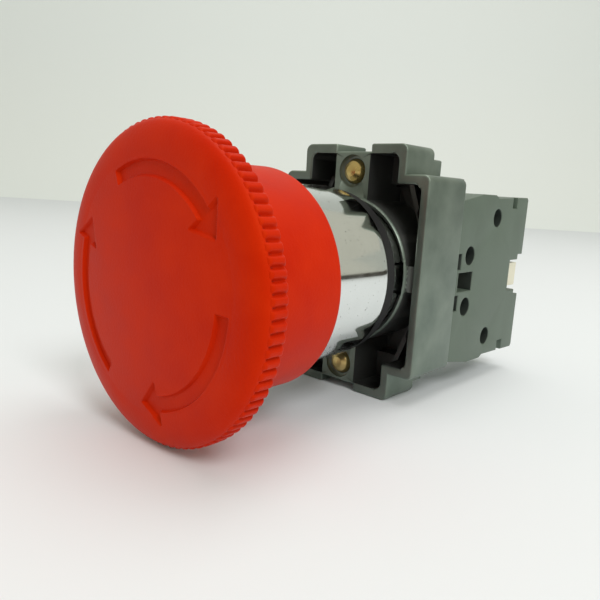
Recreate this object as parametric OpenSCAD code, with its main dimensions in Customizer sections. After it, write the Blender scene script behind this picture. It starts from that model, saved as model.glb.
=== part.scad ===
// Emergency stop button: mushroom head, chrome bezel, clamping collar and one contact block.
// Millimetres. The button slides along Y: the cap faces -Y, the contact block is at +Y, +Z is up.
// The origin is the centre of the bezel's rear face, which seats on the front of the panel.

/* [Cap] */
// Outside diameter over the ribs
cap_d = 40; // [36:0.5:44]
// From the panel seat to the flat of the face
cap_reach = 32.3; // [29:0.1:37]
// Height of the ribbed band
band_h = 2.15; // [1.2:0.05:4]
// Number of ribs round the band
rib_count = 90; // [48:1:120]
// Outside diameter of the skirt
skirt_d = 30.8; // [29.5:0.1:33]
// From the panel seat to the rear edge of the skirt
skirt_reach = 13.1; // [9:0.1:17]
// Depth of the three arrows
arrow_depth = 0.5; // [0.2:0.05:0.8]

/* [Bezel] */
// Outside diameter of the chrome barrel
bezel_d = 26.8; // [26:0.1:27.6]
// Length of the barrel in front of the panel
bezel_len = 22; // [19:0.5:23]
// Spigot through the panel hole
spigot_d = 22; // [21.8:0.05:22.1]
// Length of the spigot behind the seat
spigot_len = 10; // [9.6:0.1:10.2]
// Thickness of the rubber gasket behind the barrel
gasket_t = 2.1; // [1:0.1:2.4]

/* [Collar] */
// Width of the collar
collar_w = 29; // [28:0.1:31]
// Height of the collar over its lugs
collar_h = 40.6; // [39:0.1:42]
// Height of the collar's body
collar_body_h = 31.6; // [30:0.1:33]
// Width across the lugs
lug_w = 20.4; // [19:0.1:22]
// From the panel seat to the front of the collar, for panels up to 6 mm thick
collar_gap = 6.9; // [6.6:0.1:7.4]
// Depth of the collar
collar_depth = 11.45; // [10.5:0.05:12]
// Wall of the die casting
collar_wall = 1.5; // [1.2:0.1:1.8]
// Distance of each clamp screw from the axis
clamp_z = 16; // [15.6:0.1:16.4]

/* [Contact block] */
// Thickness of the contact block
block_w = 10; // [9.6:0.1:10.4]
// Length of the contact block behind the collar
block_len = 26.2; // [26:0.1:28]
// How far the block's centre is below the axis
block_drop = 1.2; // [0:0.1:1.5]
// Diameter of the four link holes
link_hole_d = 3.2; // [2.8:0.1:3.3]

/* [Motion] */
// Travel of the button
travel = 4.5; // [3:0.1:4.5]
// Diameter of the steel shaft
shaft_d = 6; // [5:0.1:6.4]
// Radial running gap of a shaft in its hole
run_gap = 0.05; // [0.02:0.01:0.1]
// Gap between faces that only rest on each other
rest_gap = 0.02; // [0.01:0.01:0.05]

/* [Hidden] */
cap_r = cap_d / 2;
skirt_r = skirt_d / 2;
bezel_r = bezel_d / 2;
spigot_r = spigot_d / 2;
shaft_r = shaft_d / 2;
face_y = -cap_reach;
rim_y = face_y + 2.4;
band_y = rim_y + band_h;
web_y0 = -7;
web_y1 = 1;
clip_y = web_y1 + 0.9;
cam_y = web_y0 - 9.2;
cage_y = web_y0 - 6.6;
ring_y = collar_gap - 0.6;
collar_y0 = collar_gap;
collar_y1 = collar_y0 + collar_depth;
bore_r = spigot_r + 0.1;
tube_r = bore_r + 1.0;
groove_r = bore_r + 0.5;
screw_x = collar_w / 2 - 3.2;
screw_z = 10;
head_gap = 0.2;
pad_y = spigot_len + 0.6;
pad_end = pad_y + 2.6;
block_y0 = collar_y1 + 0.05;
block_y1 = block_y0 + block_len;
block_x1 = collar_w / 2 - 0.3;
block_x0 = block_x1 - block_w;
cover_x = block_x0 + 1.8;
mid_x = (block_x0 + block_x1) / 2;
zc = -block_drop;
plunger_w = 2.8;
plunger_h = 3.6;
plunger_head_w = 8.4;
plunger_head_h = 4.4;
notch_y = block_y1 - 5.2;
link_r = link_hole_d / 2;
e = 0.01;
// face of the cap: its nearly flat part, the depth of its dome and what the ribs leave of the rim
face_r = 15.6;
dome_h = 0.8;
rim_lip = 0.15;
rib_depth = 0.45;
fillet_h = 1.6;
// bores of the bezel, and what sits in them
barrel_bore_r = 12;
spigot_bore_r = 9;
web_bore_r = 5;
flange_r = 6.2;
cage_r = 8.2;
cage_bore_r = 6.35;
ring_wire_r = 0.45;
return_coil_r = 9.3;
return_wire = 1.2;
// collar: screw bosses, the side tabs of the tube and the depth of the open front
boss_x = 3.4;
boss_z = 19.1;
lug_step_z = 18.5;
tab_z = 2;
front_depth = 6.6;
// contact block: chamber of the plunger, terminals and springs
terminal_z = 11.6;
contact_z = 7.2;
plunger_coil_r = 2.65;
contact_coil_r = 1.1;

// ---- shapes used by several pieces ----
module along_y(y0, y1) translate([0, y1, 0]) rotate([90, 0, 0]) linear_extrude(y1 - y0) children();
module along_x(x0, x1) translate([x0, 0, 0]) rotate([90, 0, 90]) linear_extrude(x1 - x0) children();
module rod_y(r, y0, y1, x = 0, z = 0)
  translate([x, y0, z]) rotate([-90, 0, 0]) cylinder(r = r, h = y1 - y0, $fn = 64);
module rod_x(r, x0, x1, y, z)
  translate([x0, y, z]) rotate([0, 90, 0]) cylinder(r = r, h = x1 - x0, $fn = 48);
module turned(p) rotate([-90, 0, 0]) rotate_extrude($fn = 96) polygon(p);
module box(lo, hi) translate(lo) cube(hi - lo);

// A coil of round wire along Y, drawn as a closed tube round a helix.
module coil(r, wire, y0, y1, turns, x = 0, z = 0, steps = 20, sides = 8) {
  n = round(turns * steps);
  rise = (y1 - y0 - wire) / n;
  pts = [for (i = [0:n]) let (a = 360 * i / steps, y = y0 + wire / 2 + rise * i)
           for (k = [0:sides - 1]) let (b = 360 * k / sides, q = r + wire / 2 * cos(b))
             [x + q * cos(a), y + wire / 2 * sin(b), z + q * sin(a)]];
  body = [for (i = [0:n - 1]) for (k = [0:sides - 1]) let (k2 = (k + 1) % sides)
            [i * sides + k, i * sides + k2, (i + 1) * sides + k2, (i + 1) * sides + k]];
  front = [for (k = [sides - 1:-1:0]) k];
  back = [for (k = [0:sides - 1]) n * sides + k];
  polyhedron(points = pts, faces = concat(body, [front, back]), convexity = 10);
}

// A flat retaining clip: a ring with a gap at the bottom.
module clip(r_in, r_out, y0, y1) difference() {
  rod_y(r_out, y0, y1);
  rod_y(r_in, y0 - e, y1 + e);
  box([-r_in * 0.62, y0 - 1, -r_out - 1], [r_in * 0.62, y1 + 1, 0]);
}

// ---- button: what turns and slides with the cap ----
cap_profile = concat(
  [for (i = [0:5]) let (r = face_r * i / 5) [r, face_y + dome_h * pow(i / 5, 2)]],
  [for (t = [10:10:90]) [face_r + (cap_r - face_r - rim_lip) * sin(t), rim_y - fillet_h * cos(t)]],
  [[cap_r - 0.5, rim_y], [cap_r - 0.5, band_y], [cap_r - 0.9, band_y + 0.35],
   [skirt_r + 1.1, band_y + 0.85], [skirt_r + 0.3, band_y + 1.15], [skirt_r, band_y + 1.9],
   [skirt_r, -skirt_reach - 0.6], [skirt_r - 0.3, -skirt_reach], [skirt_r - 1.0, -skirt_reach],
   [skirt_r - 1.3, -skirt_reach - 0.4], [skirt_r - 1.3, face_y + 4.4], [13.0, face_y + 2.9],
   [shaft_r + 2.2, face_y + 2.9], [shaft_r + 2.2, face_y + 10.8],
   [shaft_r, face_y + 10.8], [shaft_r, face_y + 3.1], [0, face_y + 3.1]]);

function ring_pt(r, a) = [r * cos(a), r * sin(a)];
// One arrow, running clockwise as seen from the front.
module arrow_2d() polygon(concat(
  [for (a = [116:-4.625:42]) ring_pt(15.0, a)],
  [ring_pt(16.7, 42), ring_pt(14.4, 29), ring_pt(11.5, 42)],
  [for (a = [42:4.625:116.1]) ring_pt(13.2, a)]));

module mushroom_cap() color([0.78, 0.13, 0.07]) difference() {
  union() {
    turned(cap_profile);
    along_y(rim_y, band_y) difference() {
      polygon([for (i = [0:rib_count - 1]) for (p = [[0, rib_depth], [0.28, 0], [0.72, 0]])
        ring_pt(cap_r - p[1], 360 * (i + p[0]) / rib_count)]);
      circle(r = cap_r - 2, $fn = 96);
    }
  }
  for (k = [0:2]) along_y(face_y - 1, face_y + dome_h * pow(15 / face_r, 2) + arrow_depth)
    rotate(-120 * k) arrow_2d();
}

module shaft() color([0.66, 0.67, 0.68]) turned([
  [0, face_y + 3.1], [shaft_r, face_y + 3.1], [shaft_r, clip_y], [shaft_r - 0.7, clip_y],
  [shaft_r - 0.7, clip_y + 0.8], [shaft_r, clip_y + 0.8], [shaft_r, pad_y - 0.05],
  [shaft_r - 0.5, pad_y - 0.05], [shaft_r - 0.5, pad_end + 0.05],
  [shaft_r - 0.9, pad_end + 0.05], [shaft_r - 0.9, pad_end + 0.55], [shaft_r - 0.5, pad_end + 0.55],
  [shaft_r - 0.5, pad_end + 0.8], [shaft_r - 0.7, pad_end + 1.0], [0, pad_end + 1.0]]);

module latch_cam() color([0.86, 0.86, 0.83]) difference() {
  turned([[shaft_r, cam_y], [shaft_r + 1.8, cam_y], [shaft_r + 2.6, cam_y + 0.6],
          [shaft_r + 2.6, cam_y + 2.4], [shaft_r + 1.4, cam_y + 3.2], [shaft_r, cam_y + 3.2]]);
  for (k = [0:2]) rotate([0, 120 * k, 0])
    box([-0.8, cam_y - 1, shaft_r + 1.6], [0.8, cam_y + 1.6, shaft_r + 4]);
}

module shaft_clip() color([0.55, 0.56, 0.57])
  clip(shaft_r - 0.7, shaft_r + 1.8, clip_y + 0.02, clip_y + 0.78);
module pad_clip() color([0.55, 0.56, 0.57])
  clip(shaft_r - 0.9, shaft_r + 1.2, pad_end + 0.07, pad_end + 0.53);

// ---- carrier: slides, but is keyed against turning ----
module push_pad() color([0.10, 0.10, 0.11]) difference() {
  union() {
    rod_y(bore_r - 0.4, pad_y, pad_end);
    box([-1.4, pad_y, -groove_r - 0.1], [1.4, pad_end, -bore_r + 2]);
  }
  rod_y(shaft_r - 0.5 + run_gap, pad_y - 1, pad_end + 1);
  for (a = [45, 135, 225, 315]) rotate([0, a, 0]) rod_y(1.4, pad_y - 1, pad_end - 1.2, x = 6.8);
}

// ---- head body ----
module bezel() color([0.80, 0.81, 0.83]) difference() {
  turned([[bezel_r, -bezel_len + 0.4], [bezel_r, -1.1], [bezel_r - 0.3, -0.4], [bezel_r - 0.9, 0],
          [spigot_r, 0], [spigot_r, spigot_len], [spigot_bore_r, spigot_len], [spigot_bore_r, web_y1],
          [web_bore_r, web_y1], [web_bore_r, web_y0], [barrel_bore_r, web_y0], [barrel_bore_r, -bezel_len],
          [bezel_r - 0.4, -bezel_len]]);
  for (s = [-1, 1]) box([-2.4, spigot_len - 3.4, s > 0 ? 8 : -12], [2.4, spigot_len + 1, s > 0 ? 12 : -8]);
}

module guide_bush() color([0.12, 0.12, 0.13]) turned([
  [shaft_r + run_gap, web_y0 - 0.9], [flange_r, web_y0 - 0.9], [flange_r, web_y0 - rest_gap],
  [web_bore_r, web_y0 - rest_gap], [web_bore_r, web_y1 + 0.4], [web_bore_r - 0.2, web_y1 + 0.8],
  [shaft_r + run_gap, web_y1 + 0.8]]);

module latch_cage() color([0.20, 0.20, 0.22]) turned([
  [cage_bore_r, cage_y], [cage_r, cage_y], [cage_r, web_y0 - rest_gap], [cage_bore_r, web_y0 - rest_gap],
  [cage_bore_r, cage_y + 1.85], [cage_bore_r + 0.6, cage_y + 1.85], [cage_bore_r + 0.6, cage_y + 0.75],
  [cage_bore_r, cage_y + 0.75]]);

module latch_ring() color([0.6, 0.6, 0.62]) translate([0, cage_y + 1.3, 0]) rotate([-90, 0, 0])
  rotate([0, 0, 120]) rotate_extrude(angle = 300, $fn = 72)
    translate([cage_bore_r + 0.05, 0]) circle(r = ring_wire_r, $fn = 24);

module return_spring() color([0.62, 0.63, 0.65])
  coil(return_coil_r, return_wire, face_y + 2.9 + rest_gap, web_y0 - rest_gap, 8);

module panel_gasket() color([0.05, 0.05, 0.05]) difference() {
  rod_y(bezel_r - 0.4, rest_gap, gasket_t);
  rod_y(spigot_r + 0.05, -1, gasket_t + 1);
}

// ---- mounting collar ----
module collar_2d(inset = 0) offset(r = 1.2, $fn = 24) offset(delta = -1.2 - inset) union() {
  square([collar_w, collar_body_h], center = true);
  square([lug_w, collar_h], center = true);
}

module mounting_collar() color([0.42, 0.44, 0.44]) difference() {
  union() {
    // outer wall, hollow from the front
    difference() {
      along_y(collar_y0, collar_y1) collar_2d();
      along_y(collar_y0 - 1, collar_y1 - 2.0) intersection() {
        collar_2d(collar_wall);
        square([60, collar_body_h - 2 * collar_wall], center = true);
      }
      along_y(collar_y0 - 1, collar_y0 + front_depth) collar_2d(collar_wall);
      // lugs are stepped at the rear
      for (s = [-1, 1]) {
        box([-20, collar_y0 + 8.1, s > 0 ? lug_step_z : -30], [20, 30, s > 0 ? 30 : -lug_step_z]);
        box([-20, collar_y0 + 10.5, s > 0 ? collar_body_h / 2 : -30],
            [20, 30, s > 0 ? 30 : -collar_body_h / 2]);
        // the screw boss stands a little lower than the lugs
        box([-boss_x, collar_y0 - 1, s > 0 ? boss_z : -30], [boss_x, 30, s > 0 ? 30 : -boss_z]);
      }
    }
    turned([[0, ring_y], [tube_r - 0.25, ring_y], [tube_r, ring_y + 0.3], [tube_r, collar_y1],
            [0, collar_y1]]);
    // the tube meets the side walls halfway up
    for (t = [-1, 1]) box([t > 0 ? 11.5 : -collar_w / 2 + 1, collar_y0 + 0.2, -tab_z],
                          [t > 0 ? collar_w / 2 - 1 : -11.5, collar_y1 - 1, tab_z]);
    for (s = [-1, 1]) {
      box([-boss_x, collar_y0, s > 0 ? 11 : -boss_z], [boss_x, collar_y0 + 8.1, s > 0 ? boss_z : -11]);
      box([-boss_x, collar_y0, s > 0 ? 11 : -14], [boss_x, collar_y1 - 1, s > 0 ? 14 : -11]);
      // a slanted web stiffens each corner
      for (t = [-1, 1]) mirror([t > 0 ? 0 : 1, 0, 0]) mirror([0, 0, s > 0 ? 0 : 1])
        translate([9.2, 0, 11.6]) rotate([0, -20.3, 0])
          box([-0.4, collar_y0 + 5.1, -4], [0.4, collar_y1 - 1, 4]);
    }
  }
  rod_y(bore_r, ring_y - 1, collar_y1 + 1);
  turned([[0, ring_y - 0.5], [bore_r + 1.15, ring_y - 0.5], [bore_r, ring_y + 0.65],
          [0, ring_y + 0.65]]);
  // bayonet groove and its entry slots
  rod_y(groove_r, collar_y0 + 1.4, collar_y0 + 3.2);
  for (t = [-1, 1]) box([t > 0 ? 9 : -groove_r, ring_y - 1, -2.6],
                        [t > 0 ? groove_r : -9, collar_y0 + 2.3, 2.6]);
  // way through for the plunger, where the bore alone would not clear it
  box([mid_x - plunger_w / 2 - run_gap, pad_y - 1, zc - plunger_h / 2 - run_gap],
      [mid_x + plunger_w / 2 + run_gap, collar_y1 + 1, zc + plunger_h / 2 + run_gap]);
  // keyway of the push pad
  box([-1.65, collar_y0 + 3.1, -groove_r - 0.35], [1.65, collar_y1 + 1, -9]);
  for (s = [-1, 1]) {
    rod_y(2.05, collar_y0 - 1, collar_y1 + 1, z = s * clamp_z);
    rod_y(2.6, collar_y0 - 1, collar_y0 + 0.9, z = s * clamp_z);
    // holes of the block screws, with room for a head inside the collar
    for (t = [-1, 1]) {
      rod_y(1.2, collar_y0 + 2, collar_y1 + 1, x = t * screw_x, z = s * screw_z);
      rod_y(1.4 + head_gap, collar_y0 + 2, collar_y1 - 2, x = t * screw_x, z = s * screw_z);
    }
  }
}

module clamp_screws() color([0.78, 0.66, 0.36]) for (s = [-1, 1])
  translate([0, 0, s * clamp_z]) difference() {
  turned([[0, collar_y0 - 0.5], [0.9, collar_y0 - 0.35], [1.6, collar_y0 + 0.15], [2.0, collar_y0 + 0.9],
          [2.0, collar_y0 + 9.6], [1.7, collar_y0 + 9.9], [0, collar_y0 + 9.9]]);
  box([-0.35, collar_y0 + 8.8, -3], [0.35, collar_y0 + 11, 3]);
}

module block_screws() color([0.62, 0.62, 0.64]) for (s = [-1, 1])
  translate([screw_x, 0, s * screw_z]) difference() {
  turned([[0, collar_y1 - 3.4], [1.1, collar_y1 - 3.4], [1.4, collar_y1 - 3.1], [1.4, collar_y1 - 2.02],
          [1.1, collar_y1 - 2.02], [1.1, collar_y1 + 3.4], [0, collar_y1 + 3.9]]);
  box([-2, collar_y1 - 4, -0.25], [2, collar_y1 - 2.8, 0.25]);
}

// ---- contact block ----
half_outline = [[block_y0, 13.5], [block_y0 + 7.4, 14.8], [block_y0 + 12.2, 14.8], [block_y0 + 13.2, 14.3],
                [block_y1 - 0.4, 14.7], [block_y1, 14.3], [block_y1, 3.9], [block_y1 - 1.9, 3.9],
                [block_y1 - 1.9, 2.9], [notch_y, 2.9]];
module block_2d() translate([0, zc]) difference() {
  polygon(concat(half_outline, [for (i = [9:-1:0]) [half_outline[i][0], -half_outline[i][1]]]));
  for (s = [-1, 1]) {
    translate([block_y0 + 13.5, s * 10.8]) circle(r = link_r, $fn = 48);
    translate([block_y0 + 4.4, s * 4.4]) circle(r = link_r, $fn = 48);
  }
}

module block_case() color([0.47, 0.52, 0.47]) difference() {
  along_x(cover_x, block_x1) block_2d();
  translate([0, 0, zc]) {
    // plunger channel and its side window
    box([mid_x - plunger_w / 2 - 0.2, block_y0 - 1, -plunger_h / 2 - 0.2],
        [mid_x + plunger_w / 2 + 0.2, block_y1 - 4, plunger_h / 2 + 0.2]);
    box([mid_x, block_y0 + 1.0, -1.6], [block_x1 + 1, block_y0 + 5.9, 1.6]);
    // chamber of the plunger's frame and spring, then of the bridge
    box([cover_x - 1, block_y0 + 6.3, -3.45], [mid_x + 3.1, block_y0 + 19.9, 3.45]);
    box([cover_x - 1, block_y0 + 6.3, -8.5], [mid_x + 2.0, block_y0 + 13.5, 8.5]);
    for (s = [-1, 1]) mirror([0, 0, s > 0 ? 0 : 1]) {
      // slots of the fixed contacts
      box([cover_x - 1, block_y0 + 5.6, 6.1], [mid_x + 1.6, block_y0 + 6.5, 13.45]);
      box([cover_x - 1, block_y0 + 5.6, 12.7], [mid_x + 1.6, block_y0 + 20.5, 13.45]);
      box([cover_x - 1, block_y0 + 19.5, 9.2], [mid_x + 1.6, block_y0 + 20.5, 13.45]);
      // terminal pocket, screw tip room and wire entry
      box([mid_x - 2.4, block_y0 + 20.4, 9.2], [mid_x + 2.4, block_y1 + 1, 14.0]);
      rod_y(1.4, block_y0 + 17.6, block_y0 + 21, x = mid_x, z = terminal_z);
      box([mid_x - 1.9, block_y0 + 20.5, 13], [mid_x + 1.9, block_y0 + 22.2, 16]);
      // small notches in the side face
      box([block_x1 - 0.9, block_y0 - 1, 2.2], [block_x1 + 1, block_y0 + 1.5, 4.8]);
      box([block_x1 - 0.9, block_y0 + 19.4, 12.6], [block_x1 + 1, block_y0 + 21.4, 16]);
    }
  }
  for (s = [-1, 1]) rod_y(1.1, block_y0 - 1, block_y0 + 4, x = screw_x, z = s * screw_z);
}

module block_cover() color([0.47, 0.52, 0.47]) difference() {
  along_x(block_x0, cover_x - 0.02) block_2d();
  translate([0, 0, zc]) box([block_x0 - 1, block_y0 + 9, -3], [block_x0 + 0.5, block_y0 + 17, 3]);
}

module plunger() color([0.87, 0.83, 0.70]) translate([0, 0, zc]) difference() {
  union() {
    box([mid_x - plunger_w / 2, pad_end + 0.05, -plunger_h / 2],
        [mid_x + plunger_w / 2, block_y1 - 0.4, plunger_h / 2]);
    box([mid_x - plunger_w / 2, block_y0 + 6.5, -3.2], [mid_x + plunger_w / 2, block_y0 + 13.0, 3.2]);
    // head in the rear notch, where a block behind this one would be pushed
    box([mid_x - plunger_head_w / 2, notch_y + 0.4, -plunger_head_h / 2],
        [mid_x + plunger_head_w / 2, block_y1 - 0.4, plunger_head_h / 2]);
  }
  box([mid_x - plunger_w, block_y0 + 7.6, -1.7], [mid_x + plunger_w, block_y0 + 12.1, 1.7]);
  box([mid_x - 1.1, block_y0 + 7.6, -4], [mid_x + 1.1, block_y0 + 8.6, 4]);
}

module plunger_spring() color([0.62, 0.63, 0.65])
  coil(plunger_coil_r, 0.5, block_y0 + 13.02, block_y0 + 19.85, 4, x = mid_x, z = zc, steps = 16);
module contact_spring() color([0.62, 0.63, 0.65])
  coil(contact_coil_r, 0.35, block_y0 + 8.47, block_y0 + 12.08, 4, x = mid_x, z = zc, steps = 16);

module bridge_contact() color([0.72, 0.45, 0.25]) translate([0, 0, zc])
  box([mid_x - 1.0, block_y0 + 7.65, -8.2], [mid_x + 1.0, block_y0 + 8.45, 8.2]);
module bridge_tips() color([0.80, 0.80, 0.79])
  for (s = [-1, 1]) rod_y(0.9, block_y0 + 7.05, block_y0 + 7.64, x = mid_x, z = zc + s * contact_z);

module fixed_contacts() color([0.78, 0.66, 0.36]) for (s = [-1, 1])
  translate([0, 0, zc]) mirror([0, 0, s > 0 ? 0 : 1]) difference() {
    union() {
      box([mid_x - 1.5, block_y0 + 5.65, 6.2], [mid_x + 1.5, block_y0 + 6.4, 13.4]);
      box([mid_x - 1.5, block_y0 + 5.65, 12.75], [mid_x + 1.5, block_y0 + 20.4, 13.4]);
      box([mid_x - 1.5, block_y0 + 19.6, 9.3], [mid_x + 1.5, block_y0 + 20.4, 13.4]);
    }
    rod_y(1.25, block_y0 + 19, block_y0 + 21, x = mid_x, z = terminal_z);
  }
module fixed_tips() color([0.80, 0.80, 0.79])
  for (s = [-1, 1]) rod_y(0.9, block_y0 + 6.41, block_y0 + 7.0, x = mid_x, z = zc + s * contact_z);

module terminal_plates() color([0.78, 0.66, 0.36]) for (s = [-1, 1]) difference() {
  box([mid_x - 2.1, block_y0 + 22.3, zc + s * terminal_z - 2.2],
      [mid_x + 2.1, block_y0 + 23.1, zc + s * terminal_z + 2.2]);
  rod_y(1.3, block_y0 + 22, block_y0 + 24, x = mid_x, z = zc + s * terminal_z);
}
module terminal_screws() color([0.70, 0.70, 0.68]) for (s = [-1, 1])
  translate([mid_x, 0, zc + s * terminal_z]) difference() {
    turned([[0, block_y0 + 18.0], [1.2, block_y0 + 18.4], [1.2, block_y0 + 23.12], [2.2, block_y0 + 23.12],
            [2.2, block_y0 + 24.4], [1.8, block_y0 + 24.9], [0, block_y0 + 24.9]]);
    box([-3, block_y0 + 24.1, -0.3], [3, block_y0 + 26, 0.3]);
  }

mushroom_cap();
shaft();
latch_cam();
shaft_clip();
pad_clip();
push_pad();
bezel();
guide_bush();
latch_cage();
latch_ring();
return_spring();
panel_gasket();
mounting_collar();
clamp_screws();
block_screws();
block_case();
block_cover();
plunger();
plunger_spring();
contact_spring();
bridge_contact();
bridge_tips();
fixed_contacts();
fixed_tips();
terminal_plates();
terminal_screws();
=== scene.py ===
# Emergency stop button: mushroom cap, chrome bezel, clamping collar and one contact block.
# Everything is in metres, in the part's own frame: the cap faces -Y, the contact block is at +Y.
import math

import bmesh
import bpy
import numpy as np
from mathutils import Matrix, Vector


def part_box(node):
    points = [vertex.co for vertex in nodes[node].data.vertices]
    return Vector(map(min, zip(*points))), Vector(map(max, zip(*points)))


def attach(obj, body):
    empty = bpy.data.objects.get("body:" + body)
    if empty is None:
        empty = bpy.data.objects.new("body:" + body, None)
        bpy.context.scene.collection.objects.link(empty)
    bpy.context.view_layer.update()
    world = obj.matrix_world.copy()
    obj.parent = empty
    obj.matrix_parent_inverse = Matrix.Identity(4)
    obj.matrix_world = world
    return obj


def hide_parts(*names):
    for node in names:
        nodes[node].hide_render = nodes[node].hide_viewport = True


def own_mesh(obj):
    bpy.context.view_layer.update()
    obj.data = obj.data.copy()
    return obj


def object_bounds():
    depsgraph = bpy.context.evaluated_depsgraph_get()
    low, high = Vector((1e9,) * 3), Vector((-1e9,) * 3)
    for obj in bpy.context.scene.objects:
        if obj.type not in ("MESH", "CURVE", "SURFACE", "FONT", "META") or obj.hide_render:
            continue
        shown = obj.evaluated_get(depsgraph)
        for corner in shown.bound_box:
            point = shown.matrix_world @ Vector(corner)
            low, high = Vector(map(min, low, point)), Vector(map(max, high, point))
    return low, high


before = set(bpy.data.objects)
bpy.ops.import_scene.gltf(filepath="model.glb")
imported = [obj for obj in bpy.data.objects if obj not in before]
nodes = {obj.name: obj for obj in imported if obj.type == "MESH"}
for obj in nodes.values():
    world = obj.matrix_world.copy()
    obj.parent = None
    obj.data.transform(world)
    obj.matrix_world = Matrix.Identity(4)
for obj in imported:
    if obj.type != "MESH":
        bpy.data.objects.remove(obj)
cad_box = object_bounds()
scene = bpy.context.scene

# ---------------------------------------------------------------------------------------------
# Camera: a plain 36 mm lens, close to the button and low, to the front right of it. It leans
# a little to one side, so the object stands slightly askew in the view.
# ---------------------------------------------------------------------------------------------
AZIMUTH, ELEVATION, LEAN = (math.radians(a) for a in (41.83, 10.44, 3.43))
back = Vector((math.sin(AZIMUTH) * math.cos(ELEVATION), -math.cos(AZIMUTH) * math.cos(ELEVATION),
               math.sin(ELEVATION)))
level = Vector((math.cos(AZIMUTH), math.sin(AZIMUTH), 0))
above = back.cross(level)
right = math.cos(LEAN) * level + math.sin(LEAN) * above
up = math.cos(LEAN) * above - math.sin(LEAN) * level
eye = Vector((0.060777, -0.071724, 0.012590))

camera_data = bpy.data.cameras.new("camera")
camera_data.sensor_width = 36
camera_data.lens = 36
camera_data.clip_start = 0.002
camera_data.clip_end = 20
camera = bpy.data.objects.new("camera", camera_data)
camera.matrix_world = Matrix(((right.x, up.x, back.x, eye.x), (right.y, up.y, back.y, eye.y),
                              (right.z, up.z, back.z, eye.z), (0, 0, 0, 1)))
scene.collection.objects.link(camera)
scene.camera = camera

# ---------------------------------------------------------------------------------------------
# Table: a pale matt sheet that sweeps up into a wall. The button lies on its cap's rim and on
# the collar's bottom lug, so the sheet is level with the lowest of the two.
# ---------------------------------------------------------------------------------------------
TABLE_Z = cad_box[0][2]
TABLE_REACH, TABLE_FRONT, TABLE_HALF, WALL_TOP = 0.9, 4.0, 4.0, 1.0
SWEEP_RADIUS, SWEEP_STEPS = 0.25, 14


def sheet_mesh(name, rows):
    """A ruled sheet through equal rows of points."""
    width = len(rows[0])
    verts = [p for row in rows for p in row]
    faces = [(i * width + k, i * width + k + 1, (i + 1) * width + k + 1, (i + 1) * width + k)
             for i in range(len(rows) - 1) for k in range(width - 1)]
    mesh = bpy.data.meshes.new(name)
    mesh.from_pydata(verts, [], faces)
    mesh.update()
    obj = bpy.data.objects.new(name, mesh)
    scene.collection.objects.link(obj)
    return obj


def smooth(obj, angle=None):
    """Smooth shading, with sharp edges kept past an angle."""
    obj.data.polygons.foreach_set("use_smooth", [True] * len(obj.data.polygons))
    if angle is not None:
        obj.data.set_sharp_from_angle(angle=math.radians(angle))
    return obj


def shader(material):
    """The shader node that holds a material's own settings."""
    return material.node_tree.nodes["Principled BSDF"]


def blank(name):
    """A new material with its nodes, to be given a colour or a finish."""
    material = bpy.data.materials.new(name)
    material.use_nodes = True
    return material


sweep = [(-TABLE_FRONT, 0.0), (TABLE_REACH - SWEEP_RADIUS, 0.0)]
sweep += [(TABLE_REACH - SWEEP_RADIUS * (1 - math.sin(a)), SWEEP_RADIUS * (1 - math.cos(a)))
          for a in np.linspace(0.1, math.pi / 2, SWEEP_STEPS)]
sweep += [(TABLE_REACH, WALL_TOP)]
away = Vector((-back.x, -back.y, 0)).normalized()
across = Vector((away.y, -away.x, 0))
table = sheet_mesh("table", [[tuple(away * s + across * t + Vector((0, 0, TABLE_Z + h)))
                              for t in (-TABLE_HALF, 0, TABLE_HALF)] for s, h in sweep])
smooth(table)

PAPER_ROUGH = 0.75
for label, tone in (("table_paper", (0.77, 0.80, 0.86, 1)), ("wall_paper", (0.87, 0.91, 0.93, 1))):
    paper = blank(label)
    shader(paper).inputs["Base Color"].default_value = tone
    shader(paper).inputs["Roughness"].default_value = PAPER_ROUGH
    table.data.materials.append(paper)
for part in table.data.polygons:
    part.material_index = 1 if part.center.z > TABLE_Z + 0.001 else 0

# ---------------------------------------------------------------------------------------------
# Light: a window high on the right, a softer light from the ceiling, and a pale room all
# round. A low dark strip stands behind the camera and along its right side. Only mirrors see
# it: it gives the chrome barrel the dark line that the far edge of a room would.
# ---------------------------------------------------------------------------------------------
world = bpy.data.worlds.new("room")
world.use_nodes = True
world.node_tree.nodes["Background"].inputs["Color"].default_value = (0.80, 0.79, 0.66, 1)
world.node_tree.nodes["Background"].inputs["Strength"].default_value = 0.70
scene.world = world
scene.view_settings.view_transform = "Standard"


def soft_light(name, place, size, power, colour):
    """A square soft box that faces the button."""
    data = bpy.data.lights.new(name, "AREA")
    data.shape = "SQUARE"
    data.size = size
    data.energy = power
    data.color = colour
    obj = bpy.data.objects.new(name, data)
    obj.location = place
    obj.rotation_euler = (-Vector(place)).to_track_quat("-Z", "Y").to_euler()
    scene.collection.objects.link(obj)


soft_light("window", (0.55, -0.20, 0.55), 0.26, 2.6, (1.0, 0.99, 0.95))
soft_light("ceiling", (0.05, 0.15, 0.85), 0.6, 2.9, (1.0, 0.98, 0.93))

ROOM_EDGE, ROOM_EDGE_HEIGHT = ((-0.88, -1.2), (-0.88, 1.15), (0.6, 1.15)), 0.07
room_edge = sheet_mesh("room_edge", [[tuple(away * s + across * t + Vector((0, 0, TABLE_Z + h)))
                                      for s, t in ROOM_EDGE] for h in (0.0, ROOM_EDGE_HEIGHT)])
room_shade = blank("room_shade")
shader(room_shade).inputs["Base Color"].default_value = (0.05, 0.04, 0.03, 1)
room_edge.data.materials.append(room_shade)
room_edge.visible_camera = False
room_edge.visible_diffuse = False
room_edge.visible_shadow = False


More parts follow.
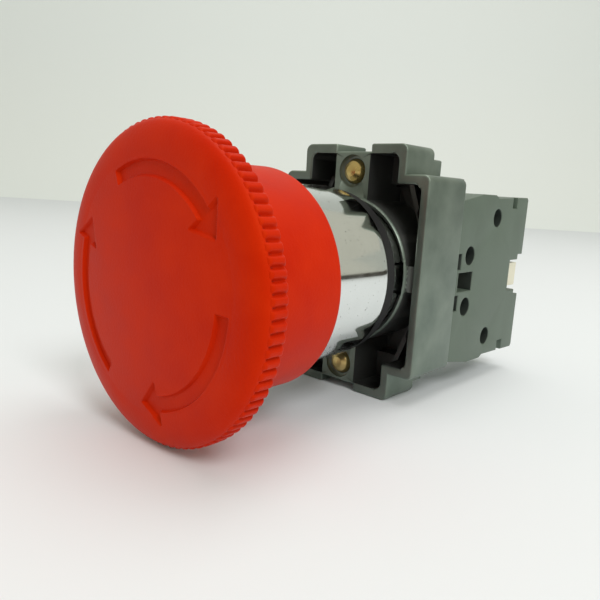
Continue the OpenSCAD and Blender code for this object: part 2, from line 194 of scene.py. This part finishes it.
# ---------------------------------------------------------------------------------------------
# Mushroom cap: one red moulding with a slightly crowned face, a deep round edge, three sunk
# arrows that point the way to turn, and a skirt that slides over the bezel.
# ---------------------------------------------------------------------------------------------
def lathe(name, profile, segments, closed=True):
    """A body turned about Y from (radius, y) points in millimetres: a closed profile makes a
    ring, and an open one starts and ends on the axis."""
    points = [(r / 1000, y / 1000) for r, y in profile]
    turn = 2 * math.pi / segments
    verts, rows = [], []
    for r, y in points:
        if r < 1e-7:
            rows.append([len(verts)])
            verts.append((0, y, 0))
        else:
            rows.append(list(range(len(verts), len(verts) + segments)))
            verts += [(r * math.cos(turn * k), y, r * math.sin(turn * k)) for k in range(segments)]
    faces = []
    pairs = list(zip(rows, rows[1:])) + ([(rows[-1], rows[0])] if closed else [])
    for a, b in pairs:
        for k in range(segments):
            n = (k + 1) % segments
            corners = [a[k % len(a)], a[n % len(a)], b[n % len(b)], b[k % len(b)]]
            face = []
            for c in corners:
                if c not in face:
                    face.append(c)
            if len(face) > 2:
                faces.append(face)
    mesh = bpy.data.meshes.new(name)
    mesh.from_pydata(verts, [], faces)
    outward = bmesh.new()
    outward.from_mesh(mesh)
    bmesh.ops.recalc_face_normals(outward, faces=outward.faces)
    outward.to_mesh(mesh)
    outward.free()
    mesh.update()
    obj = bpy.data.objects.new(name, mesh)
    scene.collection.objects.link(obj)
    return obj


def grain(material, size, depth):
    """Fine relief on a surface: noise whose grains are size metres across."""
    tree = material.node_tree
    where = tree.nodes.new("ShaderNodeTexCoord")
    noise = tree.nodes.new("ShaderNodeTexNoise")
    noise.inputs["Scale"].default_value = 1 / size
    noise.inputs["Detail"].default_value = 3.0
    bump = tree.nodes.new("ShaderNodeBump")
    bump.inputs["Strength"].default_value = 1.0
    bump.inputs["Distance"].default_value = depth
    tree.links.new(where.outputs["Object"], noise.inputs["Vector"])
    tree.links.new(noise.outputs["Fac"], bump.inputs["Height"])
    tree.links.new(bump.outputs["Normal"], shader(material).inputs["Normal"])
    return where


def mottle(material, where, size, low, high, rough_low, rough_high):
    """Broad, faint changes of colour and of gloss."""
    tree = material.node_tree
    noise = tree.nodes.new("ShaderNodeTexNoise")
    noise.inputs["Scale"].default_value = 1 / size
    noise.inputs["Detail"].default_value = 4.0
    ramp = tree.nodes.new("ShaderNodeValToRGB")
    ramp.color_ramp.elements[0].position = 0.3
    ramp.color_ramp.elements[1].position = 0.7
    ramp.color_ramp.elements[0].color = (*low, 1)
    ramp.color_ramp.elements[1].color = (*high, 1)
    gloss = tree.nodes.new("ShaderNodeMapRange")
    gloss.inputs["From Min"].default_value = 0.3
    gloss.inputs["From Max"].default_value = 0.7
    gloss.inputs["To Min"].default_value = rough_low
    gloss.inputs["To Max"].default_value = rough_high
    tree.links.new(where.outputs["Object"], noise.inputs["Vector"])
    tree.links.new(noise.outputs["Fac"], ramp.inputs["Fac"])
    tree.links.new(noise.outputs["Fac"], gloss.inputs["Value"])
    tree.links.new(ramp.outputs["Color"], shader(material).inputs["Base Color"])
    tree.links.new(gloss.outputs["Result"], shader(material).inputs["Roughness"])


MOTTLE_SIZE, GLOSSIER, DULLER = 0.006, 0.05, 0.06


def moulded(name, low, high, rough, grain_size, grain_depth, metal=0.0):
    """A moulded, cast or rolled finish: mottled colour and gloss over a fine grain."""
    material = blank(name)
    where = grain(material, grain_size, grain_depth)
    mottle(material, where, MOTTLE_SIZE, low, high, rough - GLOSSIER, rough + DULLER)
    shader(material).inputs["Metallic"].default_value = metal
    return material


def finish_piece(obj, material, body, node):
    """Gives a new piece its finish and its body, and hides the CAD node that it stands for."""
    obj.data.materials.clear()
    obj.data.materials.append(material)
    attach(obj, body)
    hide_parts(node)


def arc(cx, cy, rx, ry, start, stop, steps):
    """Points along part of an ellipse, angles in degrees from +radius towards +y."""
    return [(cx + rx * math.cos(math.radians(a)), cy + ry * math.sin(math.radians(a)))
            for a in np.linspace(start, stop, steps)]


cap_low, cap_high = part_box("mushroom_cap")
CAP_R = cap_high.x * 1000
FACE_Y = cap_low.y * 1000
RIM_Y, RIM_HALF, BAND_Y = FACE_Y + 2.4, 1.6, FACE_Y + 4.55
EDGE_START, CROWN_RISE = 15.6, 0.8
SKIRT_R, SKIRT_Y, SKIRT_WALL, SKIRT_LIP, SKIRT_LIP_IN = 15.4, cap_high.y * 1000, 1.3, 0.6, 0.35
FILLET_R, FILLET_DEEP, FILLET_Y, SKIRT_START = 1.7, 1.55, BAND_Y + 2.35, BAND_Y + 3.2
CEILING_Y, CEILING_R = FACE_Y + 2.9, 13.0
HUB_R, HUB_Y, SHAFT_HOLE_R, SHAFT_HOLE_Y = 5.2, FACE_Y + 10.8, 3.0, FACE_Y + 3.1
ARROW_IN, ARROW_OUT, HEAD_IN, HEAD_OUT, TIP_R = 13.2, 15.0, 11.5, 16.7, 14.4
ARROW_TAIL, ARROW_NECK, ARROW_TIP = 116, 42, 29
ARROW_DEPTH, ARROW_SLOPE, ARROW_STEPS, ARROWS_FROM = 0.5, 0.14, 28, 10.4
RIB_DEEP, RIB_PROUD = 0.56, 0.26
BAND_R, BAND_FOOT_R = CAP_R - RIB_DEEP - 0.1, CAP_R - 0.95
CAP_SEGMENTS, FACE_STEP = 540, 0.12


def crowned(r):
    """A point of the face, which rises a little towards its middle."""
    return (r, FACE_Y + CROWN_RISE * (r / EDGE_START) ** 2)


face = [crowned(r) for r in (0, 2, 5, 8, ARROWS_FROM)]
face += [crowned(r) for r in np.arange(ARROWS_FROM + 0.5, EDGE_START, FACE_STEP)]
edge = [(EDGE_START + (CAP_R - RIB_PROUD - EDGE_START) * math.sin(t), RIM_Y - RIM_HALF * math.cos(t))
        for t in np.linspace(0.02, math.pi / 2, 34)]
under = [(BAND_R, RIM_Y + 0.12), (BAND_R, BAND_Y), (BAND_FOOT_R, BAND_Y + 0.4)]
under += arc(SKIRT_R + FILLET_R, FILLET_Y, FILLET_R, FILLET_DEEP, -90, -180, 9)
skirt = [(SKIRT_R, y) for y in np.linspace(SKIRT_START, SKIRT_Y - SKIRT_LIP - 0.3, 10)]
skirt += arc(SKIRT_R - SKIRT_LIP, SKIRT_Y - SKIRT_LIP, SKIRT_LIP, SKIRT_LIP, 0, 90, 7)
skirt += [(SKIRT_R - SKIRT_WALL + 0.3, SKIRT_Y), (SKIRT_R - SKIRT_WALL, SKIRT_Y - SKIRT_LIP_IN)]
inside = [(SKIRT_R - SKIRT_WALL, CEILING_Y + 1.5), (CEILING_R, CEILING_Y), (HUB_R, CEILING_Y),
          (HUB_R, HUB_Y), (SHAFT_HOLE_R, HUB_Y), (SHAFT_HOLE_R, SHAFT_HOLE_Y), (0, SHAFT_HOLE_Y)]
cap = lathe("mushroom_cap_moulding", face + edge + under + skirt + inside, CAP_SEGMENTS, closed=False)


def polar(r, a):
    """A point on a circle, its angle in degrees."""
    return (r * math.cos(math.radians(a)), r * math.sin(math.radians(a)))


def arrow_outline(turn):
    """One arrow, clockwise as seen from the front."""
    sweep_angles = np.linspace(ARROW_TAIL, ARROW_NECK, ARROW_STEPS)
    out = [polar(ARROW_OUT, a - turn) for a in sweep_angles]
    out += [polar(HEAD_OUT, ARROW_NECK - turn), polar(TIP_R, ARROW_TIP - turn)]
    out += [polar(HEAD_IN, ARROW_NECK - turn)]
    return out + [polar(ARROW_IN, a - turn) for a in sweep_angles[::-1]]


def depth_inside(points, outline):
    """Signed distance to a closed outline, positive inside."""
    a = np.array(outline)
    b = np.roll(a, -1, axis=0)
    nearest = np.full(len(points), 1e9)
    inside = np.zeros(len(points), bool)
    for p, q in zip(a, b):
        along = q - p
        t = np.clip(((points - p) @ along) / (along @ along), 0, 1)
        nearest = np.minimum(nearest, np.linalg.norm(points - p - t[:, None] * along, axis=1))
        crosses = (p[1] > points[:, 1]) != (q[1] > points[:, 1])
        with np.errstate(divide="ignore", invalid="ignore"):
            x = p[0] + (points[:, 1] - p[1]) * (q[0] - p[0]) / (q[1] - p[1])
        inside ^= crosses & (points[:, 0] < x)
    return np.where(inside, nearest, -nearest)


points = np.array([v.co for v in cap.data.vertices]) * 1000
on_face = (points[:, 1] < FACE_Y + 1.5 * CROWN_RISE) & (np.hypot(points[:, 0], points[:, 2]) > 10)
sunk = np.zeros(len(points))
for turn in (0, 120, 240):
    within = depth_inside(points[on_face][:, [0, 2]], arrow_outline(turn))
    t = np.clip((within + ARROW_SLOPE) / (2 * ARROW_SLOPE), 0, 1)
    sunk[on_face] = np.maximum(sunk[on_face], ARROW_DEPTH * t * t * (3 - 2 * t))
points[:, 1] += sunk
cap.data.vertices.foreach_set("co", (points / 1000).astype(np.float32).ravel())
cap.data.update()
smooth(cap, 40)

red = moulded("red_moulding", (0.51, 0.013, 0.001), (0.58, 0.021, 0.002), 0.48, 0.00030, 0.000030)
shader(red).inputs["Specular IOR Level"].default_value = 0.16
shader(red).inputs["Specular Tint"].default_value = (1.0, 0.36, 0.08, 1)
finish_piece(cap, red, "button", "mushroom_cap")

# ---------------------------------------------------------------------------------------------
# Grip ribs: ninety wide ribs with narrow grooves between them round the cap's rim, part of the
# same moulding. One pitch is drawn, from groove to groove, and set round the rim. Each row of
# it is a height, and how far a rib's crest and a groove's root lie inside the cap's radius.
# ---------------------------------------------------------------------------------------------
RIB_COUNT = 90
HALF_PITCH = math.pi / RIB_COUNT
GROOVE_WIDE, PITCH_STEPS, SAME_POINT = 0.36, 15, 2e-6
rib_rows = [(RIM_Y - 0.34, 0.42, 0.44), (RIM_Y - 0.12, 0.20, 0.36), (RIM_Y + 0.02, 0.05, 0.42),
            (RIM_Y + 0.20, 0.0, 0.52), (RIM_Y + 0.42, 0.0, RIB_DEEP), (BAND_Y - 0.45, 0.0, RIB_DEEP),
            (BAND_Y - 0.2, 0.0, RIB_DEEP - 0.04), (BAND_Y - 0.05, 0.04, RIB_DEEP - 0.12),
            (BAND_Y + 0.06, 0.14, RIB_DEEP - 0.14), (BAND_Y + 0.14, 0.32, RIB_DEEP),
            (BAND_Y + 0.16, 0.66, 0.70)]
pitch_rows = []
for y, crest, root in rib_rows:
    row = []
    for k in np.linspace(-1, 1, PITCH_STEPS):
        rise = 1 - math.exp(-((1 - abs(k)) / GROOVE_WIDE) ** 2)
        r = (CAP_R - root + (root - crest) * rise) / 1000
        row.append((r * math.cos(k * HALF_PITCH) - CAP_R / 1000, r * math.sin(k * HALF_PITCH), -y / 1000))
    pitch_rows.append(row)
pitch = sheet_mesh("rib_pitch", pitch_rows)


def tree_of(name, inputs):
    """An empty node tree with named number inputs and one mesh output."""
    tree = bpy.data.node_groups.new(name, "GeometryNodeTree")
    tree.interface.new_socket("Geometry", in_out="INPUT", socket_type="NodeSocketGeometry")
    for label, kind in inputs.items():
        tree.interface.new_socket(label, in_out="INPUT", socket_type=kind)
    tree.interface.new_socket("Geometry", in_out="OUTPUT", socket_type="NodeSocketGeometry")
    return tree, tree.nodes.new("NodeGroupInput"), tree.nodes.new("NodeGroupOutput")


def close_tree(tree, source, group_out, material):
    """Realize Instances, then Set Material, then the output."""
    real = tree.nodes.new("GeometryNodeRealizeInstances")
    paint = tree.nodes.new("GeometryNodeSetMaterial")
    paint.inputs["Material"].default_value = material
    tree.links.new(source, real.inputs["Geometry"])
    tree.links.new(real.outputs["Geometry"], paint.inputs["Geometry"])
    tree.links.new(paint.outputs["Geometry"], group_out.inputs["Geometry"])


def grown(name, tree, values, seed=None):
    """Runs a tree on a mesh, or on an empty one, and keeps the result as a plain mesh."""
    if seed is None:
        seed = bpy.data.objects.new(name + "_seed", bpy.data.meshes.new(name + "_seed"))
        scene.collection.objects.link(seed)
    modifier = seed.modifiers.new("grow", "NODES")
    modifier.node_group = tree
    for item in tree.interface.items_tree:
        if item.in_out == "INPUT" and item.name in values:
            modifier[item.identifier] = values[item.name]
    bpy.context.view_layer.update()
    made = seed.evaluated_get(bpy.context.evaluated_depsgraph_get())
    mesh = bpy.data.meshes.new_from_object(made)
    seed.modifiers.clear()
    bpy.data.objects.remove(seed)
    obj = bpy.data.objects.new(name, mesh)
    scene.collection.objects.link(obj)
    return obj


tree, given, result = tree_of("set_round_rim", {"Count": "NodeSocketInt", "Radius": "NodeSocketFloat"})
ring = tree.nodes.new("GeometryNodeMeshCircle")
outward = tree.nodes.new("GeometryNodeInputPosition")
facing = tree.nodes.new("FunctionNodeAlignEulerToVector")
facing.axis = "X"
scatter = tree.nodes.new("GeometryNodeInstanceOnPoints")
stand = tree.nodes.new("GeometryNodeTransform")
stand.inputs["Rotation"].default_value = (math.pi / 2, 0, 0)
tree.links.new(given.outputs["Count"], ring.inputs["Vertices"])
tree.links.new(given.outputs["Radius"], ring.inputs["Radius"])
tree.links.new(outward.outputs["Position"], facing.inputs["Vector"])
tree.links.new(ring.outputs["Mesh"], scatter.inputs["Points"])
tree.links.new(given.outputs["Geometry"], scatter.inputs["Instance"])
tree.links.new(facing.outputs["Rotation"], scatter.inputs["Rotation"])
tree.links.new(scatter.outputs["Instances"], stand.inputs["Geometry"])
close_tree(tree, stand.outputs["Geometry"], result, red)
ribs = grown("grip_ribs", tree, {"Count": RIB_COUNT, "Radius": CAP_R / 1000}, pitch)

# The pitches are joined into one band, and its hidden inner side is closed.
band = bmesh.new()
band.from_mesh(ribs.data)
bmesh.ops.remove_doubles(band, verts=band.verts, dist=SAME_POINT)
bmesh.ops.bridge_loops(band, edges=[e for e in band.edges if e.is_boundary])
bmesh.ops.recalc_face_normals(band, faces=band.faces)
band.to_mesh(ribs.data)
band.free()
smooth(ribs)
finish_piece(ribs, red, "button", "mushroom_cap")

# ---------------------------------------------------------------------------------------------
# Shaft and the pieces on it: a turned, bright steel shaft pressed into the cap's hub, a white
# acetal latch cam pressed on the shaft, and two spring clips snapped into its grooves.
# ---------------------------------------------------------------------------------------------
steel = moulded("bright_steel", (0.52, 0.53, 0.54), (0.62, 0.63, 0.64), 0.30, 0.0003, 0.000004,
                metal=1.0)
spring_steel = moulded("spring_steel", (0.36, 0.37, 0.39), (0.46, 0.47, 0.49), 0.34, 0.0002, 0.000004,
                       metal=1.0)
acetal = moulded("white_acetal", (0.74, 0.74, 0.70), (0.80, 0.80, 0.77), 0.45, 0.0004, 0.000006)


def repaint(material, *names):
    """A CAD node keeps its shape and gets this finish."""
    for name in names:
        obj = nodes[name]
        obj.data.materials.clear()
        obj.data.materials.append(material)


repaint(steel, "shaft")
repaint(acetal, "latch_cam")
repaint(spring_steel, "shaft_clip", "pad_clip")

# ---------------------------------------------------------------------------------------------
# Push pad: a black nylon disc on the shaft's end, keyed so that it slides and doesn't turn. The
# shaft turns inside it, and it presses the plunger.
# ---------------------------------------------------------------------------------------------
black_nylon = moulded("black_nylon", (0.010, 0.010, 0.011), (0.018, 0.018, 0.020), 0.5, 0.0003, 0.00001)
repaint(black_nylon, "push_pad")

# ---------------------------------------------------------------------------------------------
# Bezel: turned zinc, chrome plated, with a barrel in front of the panel and a spigot through it.
# The plating has small dark, dull speckles in a band along the barrel's top and one along its bottom.
# ---------------------------------------------------------------------------------------------
chrome = moulded("chrome_plate", (0.71, 0.73, 0.72), (0.77, 0.79, 0.78), 0.08, 0.0012, 0.0000015,
                 metal=1.0)
SPECK_SIZE, SPECK_SPREAD = 0.00028, 0.19
SPECK_START, SPECK_FULL = 0.70, 0.74
SPECKLED_BELOW, SPECKLED_ABOVE = (-0.0070, -0.0118), (0.0126, 0.0138)


def speckled_bands(material):
    """Small dark, dull speckles in two bands across the barrel's height. Each band fades in from its
    first height to its second."""
    tree = material.node_tree
    where = tree.nodes.new("ShaderNodeTexCoord")
    axes = tree.nodes.new("ShaderNodeSeparateXYZ")
    spots = tree.nodes.new("ShaderNodeTexNoise")
    spots.inputs["Scale"].default_value = 1 / SPECK_SIZE
    spots.inputs["Detail"].default_value = 2.0
    tree.links.new(where.outputs["Object"], axes.inputs["Vector"])
    tree.links.new(where.outputs["Object"], spots.inputs["Vector"])
    in_band = []
    for start, stop in (SPECKLED_BELOW, SPECKLED_ABOVE):
        band = tree.nodes.new("ShaderNodeMapRange")
        band.inputs["From Min"].default_value = start
        band.inputs["From Max"].default_value = stop
        tree.links.new(axes.outputs["Z"], band.inputs["Value"])
        in_band.append(band.outputs["Result"])
    both = tree.nodes.new("ShaderNodeMath")
    both.operation = "MAXIMUM"
    lift = tree.nodes.new("ShaderNodeMath")
    lift.operation = "MULTIPLY_ADD"
    lift.inputs[1].default_value = SPECK_SPREAD
    speckles = tree.nodes.new("ShaderNodeMapRange")
    speckles.inputs["From Min"].default_value = SPECK_START
    speckles.inputs["From Max"].default_value = SPECK_FULL
    tree.links.new(in_band[0], both.inputs[0])
    tree.links.new(in_band[1], both.inputs[1])
    tree.links.new(both.outputs["Value"], lift.inputs[0])
    tree.links.new(spots.outputs["Fac"], lift.inputs[2])
    tree.links.new(lift.outputs["Value"], speckles.inputs["Value"])
    for socket, dull in (("Base Color", (0.06, 0.06, 0.06, 1)), ("Roughness", 0.6)):
        mix = tree.nodes.new("ShaderNodeMix")
        mix.data_type = "RGBA" if socket == "Base Color" else "FLOAT"
        target = shader(material).inputs[socket]
        mix.inputs["B"].default_value = dull
        tree.links.new(target.links[0].from_socket, mix.inputs["A"])
        tree.links.new(speckles.outputs["Result"], mix.inputs["Factor"])
        tree.links.new(mix.outputs["Result"], target)


# Dark, dull speckles in two bands along the barrel's top and bottom.
speckled_bands(chrome)
bezel_low, bezel_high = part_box("bezel")
BARREL_R, BARREL_Y, BARREL_BORE_R = bezel_high.x * 1000, bezel_low.y * 1000, 12.0
FRONT_ROUND, REAR_ROUND, SPIGOT_CHAMFER = 0.4, 0.5, 0.3
SPIGOT_R, SPIGOT_END, SPIGOT_BORE_R = 11.0, bezel_high.y * 1000, 9.0
WEB_FRONT, WEB_REAR, WEB_BORE_R = -7.0, 1.0, 5.02
barrel = [(BARREL_BORE_R, BARREL_Y)]
barrel += arc(BARREL_R - FRONT_ROUND, BARREL_Y + FRONT_ROUND, FRONT_ROUND, FRONT_ROUND, -90, 0, 6)
barrel += [(BARREL_R, y) for y in np.linspace(BARREL_Y + 2, -1.5, 8)]
barrel += arc(BARREL_R - REAR_ROUND, -REAR_ROUND, REAR_ROUND, REAR_ROUND, 0, 90, 7)
barrel += [(SPIGOT_R + 0.02, 0), (SPIGOT_R, 0.02), (SPIGOT_R, SPIGOT_END - SPIGOT_CHAMFER),
           (SPIGOT_R - SPIGOT_CHAMFER, SPIGOT_END), (SPIGOT_BORE_R, SPIGOT_END),
           (SPIGOT_BORE_R, WEB_REAR), (WEB_BORE_R, WEB_REAR), (WEB_BORE_R, WEB_FRONT),
           (BARREL_BORE_R, WEB_FRONT)]
bezel = lathe("bezel_turned", barrel, 256)
smooth(bezel, 35)
finish_piece(bezel, chrome, "base", "bezel")

# ---------------------------------------------------------------------------------------------
# Guide bush, latch cage and snap ring: the fixed parts of the mechanism. The black nylon bush and
# cage sit inside the barrel, and the spring-steel ring sits in the cage round the latch cam.
# ---------------------------------------------------------------------------------------------
repaint(black_nylon, "guide_bush", "latch_cage")
repaint(spring_steel, "latch_ring")

# ---------------------------------------------------------------------------------------------
# Return spring: round spring wire wound about Y between the barrel's web and the cap's ceiling.
# ---------------------------------------------------------------------------------------------
COIL_STEPS, WIRE_SIDES = 40, 12


def wound(name, material, radius, wire, start, stop, turns):
    """A coil of round wire along Y from start to stop."""
    tree, given, result = tree_of(name + "_winding", {
        "Turns": "NodeSocketFloat", "Radius": "NodeSocketFloat", "Wire": "NodeSocketFloat",
        "Length": "NodeSocketFloat", "Place": "NodeSocketVector"})
    helix = tree.nodes.new("GeometryNodeCurveSpiral")
    helix.inputs["Resolution"].default_value = COIL_STEPS
    section = tree.nodes.new("GeometryNodeCurvePrimitiveCircle")
    section.inputs["Resolution"].default_value = WIRE_SIDES
    tube = tree.nodes.new("GeometryNodeCurveToMesh")
    tube.inputs["Fill Caps"].default_value = True
    shade = tree.nodes.new("GeometryNodeSetShadeSmooth")
    place = tree.nodes.new("GeometryNodeTransform")
    place.inputs["Rotation"].default_value = (-math.pi / 2, 0, 0)
    tree.links.new(given.outputs["Turns"], helix.inputs["Rotations"])
    tree.links.new(given.outputs["Radius"], helix.inputs["Start Radius"])
    tree.links.new(given.outputs["Radius"], helix.inputs["End Radius"])
    tree.links.new(given.outputs["Length"], helix.inputs["Height"])
    tree.links.new(given.outputs["Wire"], section.inputs["Radius"])
    tree.links.new(helix.outputs["Curve"], tube.inputs["Curve"])
    tree.links.new(section.outputs["Curve"], tube.inputs["Profile Curve"])
    tree.links.new(tube.outputs["Mesh"], shade.inputs["Geometry"])
    tree.links.new(shade.outputs["Geometry"], place.inputs["Geometry"])
    tree.links.new(given.outputs["Place"], place.inputs["Translation"])
    close_tree(tree, place.outputs["Geometry"], result, material)
    x, z = start[0], start[2]
    return grown(name, tree, {"Turns": float(turns), "Radius": radius, "Wire": wire / 2,
                              "Length": stop - start[1] - wire, "Place": (x, start[1] + wire / 2, z)})


def spring_for(node, name, wire, turns):
    """A coil that fills a spring's CAD box, with its front and rear ends."""
    low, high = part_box(node)
    centre = (low + high) / 2
    radius = (high.x - low.x - wire) / 2
    coil = wound(name, spring_steel, radius, wire, (centre.x, low.y, centre.z), high.y, turns)
    return coil, low.y, high.y


coil, coil_front, coil_rear = spring_for("return_spring", "return_spring_coil", 0.0012, 8)
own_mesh(coil)
finish_piece(coil, spring_steel, "base", "return_spring")

# ---------------------------------------------------------------------------------------------
# Panel gasket: a moulded black rubber washer between the bezel's rear face and the panel. It
# is held by the clamped stack alone.
# ---------------------------------------------------------------------------------------------
rubber = moulded("black_rubber", (0.008, 0.008, 0.009), (0.016, 0.016, 0.017), 0.62, 0.00035, 0.000012)
shader(rubber).inputs["Specular IOR Level"].default_value = 0.25
repaint(rubber, "panel_gasket")

# ---------------------------------------------------------------------------------------------
# Clamping collar: an open-fronted zinc die casting with a ring round its bore, a boss for each
# clamp screw and hollow lugs. Its edges are rounded, as a casting's are. Shade is painted into
# its hollows and onto its front edges, where little light falls: each of its faces is marked with
# how much painted shade it gets.
# ---------------------------------------------------------------------------------------------
zinc = moulded("cast_zinc", (0.135, 0.172, 0.145), (0.235, 0.280, 0.240), 0.42, 0.00025, 0.000016,
               metal=0.75)


SHARP = math.radians(40)


def softened(name, node, width, outer):
    """A merged copy of a CAD node with its outer edges rounded."""
    solid = bmesh.new()
    solid.from_mesh(nodes[node].data)
    bmesh.ops.remove_doubles(solid, verts=solid.verts, dist=1e-7)
    edges = [e for e in solid.edges if len(e.link_faces) == 2 and e.is_convex
             and e.calc_face_angle() > SHARP and all(outer(v.co * 1000) for v in e.verts)]
    bmesh.ops.bevel(solid, geom=edges, offset=width, offset_type="OFFSET", segments=4, profile=0.5,
                    affect="EDGES", clamp_overlap=False)
    mesh = bpy.data.meshes.new(name)
    solid.to_mesh(mesh)
    solid.free()
    obj = bpy.data.objects.new(name, mesh)
    scene.collection.objects.link(obj)
    return smooth(obj, 20)


def painted_shade(obj, how_shaded):
    """Marks each face with how much shade is painted on it, from 0 outside to 1 deep inside."""
    marks = obj.data.attributes.new("painted_shade", "FLOAT", "FACE")
    marks.data.foreach_set("value", [float(how_shaded(f.center * 1000, f.normal))
                                       for f in obj.data.polygons])


def paint_shade_inside(material, tone):
    """Mixes a darker tone, as painted shade, into the faces marked as shaded."""
    tree = material.node_tree
    marks = tree.nodes.new("ShaderNodeAttribute")
    marks.attribute_name = "painted_shade"
    mix = tree.nodes.new("ShaderNodeMix")
    mix.data_type = "RGBA"
    mix.inputs["B"].default_value = (*tone, 1)
    colour = shader(material).inputs["Base Color"]
    tree.links.new(colour.links[0].from_socket, mix.inputs["A"])
    tree.links.new(marks.outputs["Fac"], mix.inputs["Factor"])
    tree.links.new(mix.outputs["Result"], colour)


collar_low, collar_high = (v * 1000 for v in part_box("mounting_collar"))
WALL_X, WALL_Z, LUG_MIDDLE_X, LUG_END_Z = 12.8, 14.1, 3.5, 18.9
LUG_X, BODY_Z, STEP_Z, BOSS_X, BOSS_Z = 10.2, 15.8, 18.5, 3.4, 19.1
BACK_DEEP, STEP_DEEP, SIDE_WALL, JUST_OFF = 0.95, 3.35, 1.6, 0.6
COLLAR_FRONT, BOSS_DEEP, CAST_ROUND = collar_low.y + 0.6, 1.5, 0.00035
CLAMP_Z, CLAMP_ROOM, TUBE_RIM = 16.0, 2.75, (11.7, 12.3)
# Painted shade for each kind of collar face, from none (0) to full (1). The tube's rim and the middle
# bosses' fronts get little, so they read as lit rims.
OUTSIDE, BRIGHT_EDGE, BOSS_END, FRONT_EDGE, FLOOR_EDGE, INSIDE = 0.0, 0.15, 0.4, 0.42, 0.9, 1.0


def collar_painted_shade(centre, normal):
    """Painted shade: inner faces are fully shaded, front edges and the screw bosses' ends half shaded."""
    p = centre + normal * JUST_OFF
    top = collar_high.z
    if abs(p.x) > LUG_X or p.y > collar_high.y - BACK_DEEP:
        top = BODY_Z
    elif p.y > collar_high.y - STEP_DEEP:
        top = STEP_Z
    elif abs(p.x) < BOSS_X:
        top = BOSS_Z
    if abs(p.x) > collar_high.x or abs(p.z) > top or p.y > collar_high.y:
        return OUTSIDE
    if p.y > COLLAR_FRONT:
        near_screw = math.hypot(centre.x, abs(centre.z) - CLAMP_Z) < CLAMP_ROOM
        return BOSS_END if near_screw and p.y < COLLAR_FRONT + BOSS_DEEP else INSIDE
    from_axis = math.hypot(centre.x, centre.z)
    if TUBE_RIM[0] < from_axis < TUBE_RIM[1]:
        return BRIGHT_EDGE
    if abs(centre.x) < BOSS_X + 0.1 and from_axis > TUBE_RIM[1]:
        return BRIGHT_EDGE
    return FRONT_EDGE if abs(centre.x) > collar_high.x - SIDE_WALL or abs(centre.z) > WALL_Z else FLOOR_EDGE


def collar_outer(p):
    """The walls and lugs whose edges are rounded."""
    return abs(p.x) > WALL_X or abs(p.z) > WALL_Z and abs(p.x) > LUG_MIDDLE_X or abs(p.z) > LUG_END_Z


collar = softened("collar_casting", "mounting_collar", CAST_ROUND, collar_outer)
# Painted shade: the collar's hollows, front edges and boss ends are darkened towards the tone below, as
# little light falls there.
painted_shade(collar, collar_painted_shade)
paint_shade_inside(zinc, (0.085, 0.088, 0.085))
finish_piece(collar, zinc, "base", "mounting_collar")

# ---------------------------------------------------------------------------------------------
# Clamp screws: steel with domed tips, yellow passivated. They run in the collar's bosses and bear
# on the back of the panel.
# ---------------------------------------------------------------------------------------------
yellow = moulded("yellow_zinc", (0.50, 0.36, 0.13), (0.62, 0.47, 0.20), 0.30, 0.0003, 0.000006,
                 metal=1.0)
repaint(yellow, "clamp_screws")

# ---------------------------------------------------------------------------------------------
# Contact block: two grey-green mouldings, housing and cover, with four link holes through both.
# Two small steel screws hold it to the back of the collar.
# ---------------------------------------------------------------------------------------------
grey = moulded("grey_green_moulding", (0.085, 0.117, 0.090), (0.110, 0.147, 0.117), 0.46, 0.00025,
               0.000012)
CASE_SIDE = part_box("block_case")[1].x * 1000
CASE_FRONT, CASE_REAR = (v.y * 1000 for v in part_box("block_case"))
CASE_MIDDLE_Z, CASE_HALF_Z, NOTCH_DEEP, HAIR, BLOCK_ROUND = -1.2, 12.4, 5.5, 0.3, 0.00018


def case_painted_shade(centre, normal):
    """Painted shade: walls of the holes and pockets are marked as shaded. Outer faces and the rear notch
    get none.
    """
    within = CASE_FRONT < centre.y + normal.y * HAIR < CASE_REAR and centre.x + normal.x * HAIR < CASE_SIDE
    upright = abs(normal.z) < 0.98 and abs(centre.z - CASE_MIDDLE_Z) < CASE_HALF_Z
    return within and upright and not (abs(normal.y) > 0.9 and centre.y > CASE_REAR - NOTCH_DEEP)


case = softened("block_housing", "block_case", BLOCK_ROUND, lambda p: p.x > CASE_SIDE - 0.01)
# Painted shade: the walls of the housing's holes and pockets are darkened towards the tone below, as little
# light falls in them.
painted_shade(case, case_painted_shade)
paint_shade_inside(grey, (0.030, 0.038, 0.034))
finish_piece(case, grey, "base", "block_case")
COVER_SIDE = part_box("block_cover")[0].x * 1000
cover = softened("block_lid", "block_cover", BLOCK_ROUND, lambda p: p.x < COVER_SIDE + 0.01)
finish_piece(cover, grey, "base", "block_cover")
repaint(steel, "block_screws")

# ---------------------------------------------------------------------------------------------
# Plunger and its springs: a cream acetal slide whose head shows in the notch at the block's rear.
# One coil behind it pushes it back, and a smaller one presses the contact bridge to its stop.
# ---------------------------------------------------------------------------------------------
cream = moulded("cream_acetal", (0.70, 0.67, 0.54), (0.78, 0.75, 0.62), 0.42, 0.0004, 0.000006)
repaint(cream, "plunger")
slide_coil, slide_front, slide_rear = spring_for("plunger_spring", "plunger_spring_coil", 0.0005, 4)
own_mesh(slide_coil)
finish_piece(slide_coil, spring_steel, "base", "plunger_spring")
repaint(spring_steel, "contact_spring")

# ---------------------------------------------------------------------------------------------
# Contacts: a copper bridge on the plunger, brass strips in the housing, and silver tips on both.
# The strips run out to the terminal plates and their steel screws.
# ---------------------------------------------------------------------------------------------
copper = moulded("copper_strip", (0.62, 0.30, 0.14), (0.70, 0.38, 0.20), 0.32, 0.0003, 0.000004,
                 metal=1.0)
silver = moulded("silver_tip", (0.72, 0.72, 0.70), (0.80, 0.80, 0.78), 0.28, 0.0003, 0.000004, metal=1.0)
repaint(copper, "bridge_contact")
repaint(silver, "bridge_tips", "fixed_tips")
repaint(yellow, "fixed_contacts", "terminal_plates")
repaint(steel, "terminal_screws")
